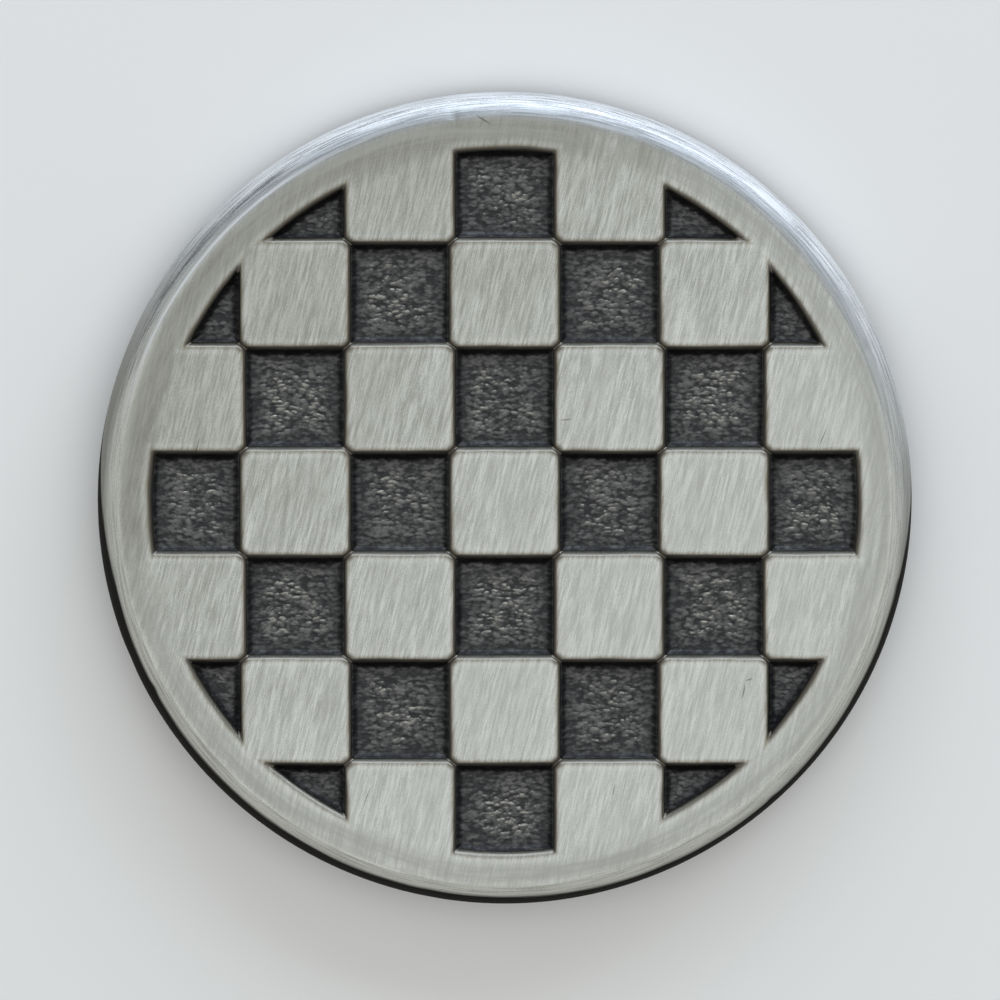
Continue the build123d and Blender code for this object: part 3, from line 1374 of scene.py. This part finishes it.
    def round_over(self, points: Array, on_face: Array) -> None:
        """Lowers the outer border by up to the drop, by the square of the way to the crease."""
        reach = smoothstep(*self.rounded_radii, np.hypot(points[:, 0], points[:, 1])) ** 2
        points[on_face, 2] -= self.rounded_drop * reach[on_face]

    def dent(self, points: Array) -> None:
        """Presses each nick in towards the axis: its depth falls off as a bell curve round its middle.

        Above the pressed level it goes down as well.

        Args:
            points: The coin's points, which it moves.
        """
        for nick in self.nicks:
            bearing = math.radians(nick.bearing)
            turn = np.angle(np.exp(1j * (np.arctan2(points[:, 1], points[:, 0]) - bearing)))
            spread = self.radius * np.abs(turn)
            near = np.exp(-((spread / nick.reach) ** 2) - ((points[:, 2] - nick.height) / nick.reach) ** 2)
            near *= np.hypot(points[:, 0], points[:, 1]) > self.nicked_radius
            points[:, 0] -= near * nick.depth * math.cos(bearing)
            points[:, 1] -= near * nick.depth * math.sin(bearing)
            points[:, 2] -= near * nick.depth * 0.6 * (points[:, 2] > self.pressed_level)


@dataclass
class LacquerFilms:
    """The lacquer in the sunk cells: a lumpy film to each, which creeps a little way up the walls."""

    board: Board
    across: int = 128
    tuck: float = 0.10
    climb: float = 0.22
    wetting: float = 0.02
    lump_height: float = 0.042
    hollow_depth: float = 0.016
    look_aside: float = 0.05

    def stipple(self, x: Array, y: Array) -> Array:
        """Lumps: domes 0.2 mm long and 0.1 mm deep, half as large ones, and ripples that run across.

        Args:
            x, y: Where they are wanted.

        Returns:
            Their height from 0 to 1, in the shape of x.
        """
        v = y + TO_LATTICE
        x = x + TO_LATTICE + 0.05 * value_noise(x + TO_LATTICE, v, (0.23, 0.17), 10)
        y = v + 0.10 * value_noise(x, v, (0.45, 0.33), 11)
        large, small = domes(x, y, (0.200, 0.105), 12), domes(x, y, (0.105, 0.060), 13)
        ripples = value_noise(x, y, (0.26, 0.085), 15)
        return smoothstep(0.14, 0.86, 0.46 * large + 0.24 * small + 0.36 * ripples)

    def rubs_and_glints(self, x: Array, y: Array) -> Array:
        """How far the lumps are rubbed bare or carry a painted glint: on the side towards +Y, where they rise
        to the south, and on top.

        It is strongest in the middle of a cell, in patches.

        Args:
            x, y: Where it is wanted.

        Returns:
            The rubbing and glint from 0 to 1, in the shape of x.
        """
        noise = value_noise(x + TO_LATTICE, y + TO_LATTICE, (0.55, 0.45), 14)
        patches = 0.42 + 0.58 * smoothstep(0.10, 0.80, noise)
        reach = smoothstep(0.20, 0.95, self.board.distance(x, y))
        south, north = self.stipple(x + 0.006, y - 0.024), self.stipple(x - 0.006, y + 0.024)
        flank = smoothstep(0.15, 0.95, south - north + 0.25 * south)
        return np.clip(flank + 0.55 * smoothstep(0.66, 0.98, south), 0, 1) * reach * patches

    def painted_foot_shadow(self, x: Array, y: Array) -> Array:
        """Painted shadow at the foot of the walls: full on the side towards +Y, less towards -X and least
        elsewhere.

        The side is told by how much nearer the outline comes over a short way towards +Y and towards -X.

        Args:
            x, y: Where it is wanted.

        Returns:
            The painted shadow from 0 to 1, in the shape of x.
        """
        away, aside = self.board.distance(x, y), self.look_aside
        north = np.clip((away - self.board.distance(x, y + aside)) / aside, 0, 1)
        west = np.clip((away - self.board.distance(x - aside, y)) / aside, 0, 1)
        near = 1.0 - smoothstep(0.12, 0.28, away - 0.07 * north + 0.06 * (self.stipple(x, y) - 0.5))
        return near * np.clip(0.42 + 0.56 * north + 0.12 * west, 0, 1)

    def outline(self, column: int, quarter: int) -> Array:
        """Points of a film in an outer row, in plan, from its straight inner side to the arc of the border.

        Args:
            column: The cell's column in the row at +Y.
            quarter: The quarter turns from there to the row it is in.

        Returns:
            A grid of points.
        """
        board = self.board
        inset = board.film_inset - board.setback[1] - self.tuck
        arc_radius = board.film_radius + self.tuck
        base = board.square_edge + inset
        tip = math.sqrt(arc_radius**2 - base**2)
        low = (abs(column) - 0.5) * board.pitch + inset if column else -board.pitch / 2 + inset
        high = tip if column else board.pitch / 2 - inset
        x = np.linspace(low, high, self.across + 1)
        depth = np.sqrt(np.maximum(arc_radius**2 - x**2, base**2)) - base
        rows = np.linspace(0, 1, self.across + 1)[:, None] * depth[None, :]
        if column < 0:
            x, rows = -x[::-1], rows[:, ::-1]
        plan = np.stack([np.broadcast_to(x, rows.shape), base + rows, np.zeros_like(rows)], axis=-1)
        return turned(plan, quarter)

    def square(self, column: int, row: int) -> Array:
        """Points of a whole cell's film in plan.

        Args:
            column, row: The cell.

        Returns:
            A grid of points.
        """
        board = self.board
        half = board.pitch / 2 - board.film_inset + board.setback[1] + self.tuck
        side = np.linspace(-half, half, self.across + 1)
        x, y = np.meshgrid(side + column * board.pitch, side + row * board.pitch)
        return np.stack([x, y, np.zeros_like(x)], axis=-1)

    def build(self) -> Iterator[tuple[str, bpy.types.Object]]:
        """Every film: those of the whole cells, then those of the outer rows.

        Returns:
            The name of the CAD node that it stands for, and the piece, in turn.
        """
        far = self.board.outer_row
        for column in range(1 - far, far):
            for row in range(1 - far, far):
                if (column + row) % 2:
                    yield self.film_piece(column, row, self.square(column, row))
        for quarter in range(4):
            for column in (1 - far, 0, far - 1):
                across, up = column, far
                for _ in range(quarter):
                    across, up = -up, across
                yield self.film_piece(across, up, self.outline(column, quarter))

    def film_piece(self, column: int, row: int, plan: Array) -> tuple[str, bpy.types.Object]:
        """A closed film: its lumpy top, and a flat underside that fans out from the middle.

        The top is the greater of the lumpy level and the wall's own line, less a little, with a rounded
        hollow where they meet, so the film runs up the walls. Its outermost points are in the metal.

        Args:
            column, row: The cell.
            plan: The top's points in plan.

        Returns:
            The name of the CAD node that it stands for, and the piece.
        """
        board = self.board
        x, y = plan[..., 0], plan[..., 1]
        away = board.distance(x, y)
        open_floor = 0.65 + 0.35 * smoothstep(0.18, 0.50, away)
        level = board.film - self.hollow_depth + self.lump_height * self.stipple(x, y) * open_floor
        plan[..., 2] = board.floor_level - soft_min(-level, self.wetting - board.wall_line(away), self.climb)
        rim = np.ones(x.shape, dtype=bool)
        rim[1:-1, 1:-1] = False
        plan[rim, 2] = np.minimum(plan[rim, 2], board.height(x[rim], y[rim]) - 0.01)
        edge = np.concatenate([plan[0, :-1], plan[:-1, -1], plan[-1, :0:-1], plan[:0:-1, 0]])
        below = edge.copy()
        below[:, 2] = board.floor_level
        middle = np.broadcast_to(below.mean(0), below.shape)
        skirt = Surface.from_grid(np.stack([edge, below, middle]), closed=True).flipped()
        whole = Surface.welded([Surface.from_grid(plan), skirt])
        self.mark(whole)
        place = f"r{board.outer_row + 1 - row}_c{board.outer_row + 1 + column}"
        return f"cell_lacquer_{place}", whole.to_object(f"lacquer_film_{place}")

    def mark(self, whole: Surface) -> None:
        """Sets `rub_glint`, `lump` and `foot`, the painted shadow; the underside has no rubbing, glint or
        lumps.

        Args:
            whole: The film's skin.
        """
        x, y, z = whole.points.T
        on_top = z > self.board.floor_level + 0.01
        open_floor = 0.60 + 0.40 * smoothstep(0.2, 0.7, self.board.distance(x, y))
        whole.attributes["rub_glint"] = np.where(on_top, self.rubs_and_glints(x, y), 0.0)
        whole.attributes["lump"] = np.where(on_top, self.stipple(x, y), 0.0) * open_floor
        whole.attributes["foot"] = self.painted_foot_shadow(x, y)


@dataclass
class SteelInsert:
    """The keeper disc and the epoxy over it, turned profiles about the coin's axis."""

    radius: float
    low: float
    high: float
    chamfer: float
    bond_top: float
    segments: int = 256

    @classmethod
    def from_cad(cls) -> "SteelInsert":
        """The insert with the sizes of the CAD model's keeper disc and glue.

        Returns:
            The insert.
        """
        low, high = cad_box("keeper_disc")
        _, bond_high = cad_box("bond_film")
        return cls(high.x, low.z, high.z, high.x - bond_high.x, bond_high.z)

    def spin(self, name: str, profile: Array) -> bpy.types.Object:
        """A closed solid from a profile that runs from the axis at the top to the axis underneath.

        Args:
            name: The piece's name.
            profile: Points (r, z).

        Returns:
            The piece.
        """
        angles = np.linspace(-math.pi, math.pi, self.segments, endpoint=False)
        skin = Surface.from_grid(turned_profile(profile, angles), closed=True).flipped()
        return Surface.welded([skin]).to_object(name)

    def keeper(self) -> bpy.types.Object:
        """The disc: chamfered at both faces, with a stamping's slight roll at the edge of the lower one.

        Returns:
            The piece.
        """
        r, c = self.radius, self.chamfer
        profile = np.concatenate([
            line((0, self.high), (r - c - 0.02, self.high), 5),
            line((r - c + 0.01, self.high - 0.012), (r - 0.01, self.high - c + 0.01), 3),
            line((r, self.high - c - 0.02), (r, self.low + c + 0.02), 4),
            line((r - 0.012, self.low + c - 0.012), (r - c, self.low + 0.006), 3),
            line((r - c - 0.03, self.low), (0, self.low), 8),
        ])
        return self.spin("keeper_plate", profile)

    def bond(self) -> bpy.types.Object:
        """The epoxy film, with a rounded edge where it was squeezed.

        Returns:
            The piece.
        """
        r = self.radius - self.chamfer
        half = (self.bond_top - self.high) / 2
        profile = np.concatenate([
            line((0, self.bond_top), (r - 2 * half, self.bond_top), 4),
            arc((r - half, self.high + half), half, 90.0, -90.0, 9),
            line((r - 2 * half, self.high), (0, self.high), 4),
        ])
        return self.spin("epoxy_film", profile)


# ---------------------------------------------------------------------------------------------------------
# Studio


@dataclass
class Softbox:
    """A soft area light that faces the coin. Its place, width and height are in metres."""

    name: str
    place: tuple[float, float, float]
    width: float
    height: float
    brightness: float
    color: Color

    def build(self) -> None:
        """Adds the light. Its brightness is that of its surface, so its power is that times area times pi."""
        light = bpy.data.lights.new(self.name, "AREA")
        light.shape = "RECTANGLE"
        light.size, light.size_y = self.width, self.height
        light.energy = self.brightness * self.width * self.height * math.pi
        light.color = self.color
        lamp = bpy.data.objects.new(self.name, light)
        lamp.location = self.place
        lamp.rotation_euler = (-Vector(self.place)).to_track_quat("-Z", "Y").to_euler()
        bpy.context.scene.collection.objects.link(lamp)


@dataclass
class Studio:
    """A pale floor, soft light from above and from +Y, and the camera. Its lengths are in millimetres."""

    floor_radius: float = 400.0
    floor_rise: float = 6.0
    floor_gap: float = 0.004
    floor_colors: tuple[Color, Color] = ((0.90, 0.90, 0.89), (0.93, 0.93, 0.925))
    room_color: Color = (0.42, 0.42, 0.41)
    camera_distance: float = 250.0
    camera_tilt: float = 5.5
    sensor_width: float = 36.0
    view_width: float = 31.24
    aim: tuple[float, float, float] = (-0.146, -0.02, 1.25)
    softboxes: tuple[Softbox, ...] = (
        Softbox("overhead_softbox", (0.05, -0.03, 0.62), 0.80, 0.80, 0.55, (0.97, 0.99, 0.975)),
        Softbox("window_softbox", (0.14, 0.62, 0.22), 0.95, 0.38, 3.6, (0.76, 0.86, 1.0)),
    )

    def floor(self) -> bpy.types.Object:
        """A round floor on a polar grid, flat under the coin and dished up by a few millimetres far away.

        Returns:
            The floor.
        """
        radii = np.concatenate([np.linspace(0, 60, 13), np.linspace(80, self.floor_radius, 9)])
        heights = self.floor_rise * smoothstep(120.0, self.floor_radius, radii) - self.floor_gap
        angles = np.linspace(-math.pi, math.pi, 96, endpoint=False)
        grid = turned_profile(np.stack([radii, heights], axis=-1), angles)
        floor = Surface.welded([Surface.from_grid(grid, closed=True).flipped()]).to_object("floor")
        bench = MaterialBench.started("pale_floor")
        color = bench.mix(bench.noise(bench.millimetres(), 0.02), *self.floor_colors)
        floor.data.materials.append(bench.finished({"Base Color": color, "Roughness": 0.9}))
        return floor

    def camera(self) -> bpy.types.Object:
        """A long lens over the face, leaning towards +Y. Its angle takes in the view's width at the aim.

        Returns:
            The camera.
        """
        data = bpy.data.cameras.new("camera")
        data.sensor_width = self.sensor_width
        data.lens = self.sensor_width * self.camera_distance / self.view_width
        data.clip_start, data.clip_end = 0.005, 10.0
        tilt = math.radians(self.camera_tilt)
        camera = bpy.data.objects.new("camera", data)
        away = Vector((0.0, math.sin(tilt), math.cos(tilt))) * self.camera_distance
        camera.location = (Vector(self.aim) + away) * MM
        camera.rotation_euler = (-tilt, 0.0, 0.0)
        bpy.context.scene.collection.objects.link(camera)
        return camera

    def build(self) -> None:
        """Sets up the floor, the lights, the room and the camera."""
        self.floor()
        for softbox in self.softboxes:
            softbox.build()
        world = bpy.data.worlds.new("room")
        world.use_nodes = True
        world.node_tree.nodes["Background"].inputs["Color"].default_value = (*self.room_color, 1.0)
        bpy.context.scene.world = world
        bpy.context.scene.view_settings.view_transform = "Standard"
        bpy.context.scene.camera = self.camera()


# ---------------------------------------------------------------------------------------------------------


@dataclass
class BallMarker:
    """The whole marker: builds each piece, dresses it and hands it to the frame."""

    board: Board = field(default_factory=Board.from_cad)
    effects: SurfaceEffects = field(default_factory=SurfaceEffects)

    def hand_over(self, piece: bpy.types.Object, node: str, material: bpy.types.Material) -> None:
        """Gives a piece its material and puts it in its CAD node's place.

        Args:
            piece: The finished piece.
            node: The CAD node that it stands for.
            material: Its finish.
        """
        piece.data.materials.append(material)
        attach(piece, BODY)
        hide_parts(node)
        LOG.info("%s: %d faces, stands for %s", piece.name, len(piece.data.polygons), node)

    def build(self) -> None:
        """Builds the coin, the lacquer films and the insert in turn."""
        coin = MarkerBody.from_cad(self.board).build()
        self.hand_over(coin, "marker_body", AntiquedMetal().material(self.effects))
        lacquer = DarkLacquer().material(self.effects)
        for node, film in LacquerFilms(self.board).build():
            self.hand_over(film, node, lacquer)
        insert = SteelInsert.from_cad()
        self.hand_over(insert.keeper(), "keeper_disc", KeeperSteel().material(self.effects))
        self.hand_over(insert.bond(), "bond_film", AmberEpoxy().material(self.effects))


def main() -> None:
    """Builds the marker and the studio."""
    logging.basicConfig(level=logging.INFO, format="%(name)s: %(message)s")
    BallMarker().build()
    Studio().build()


if __name__ == "__main__":
    main()
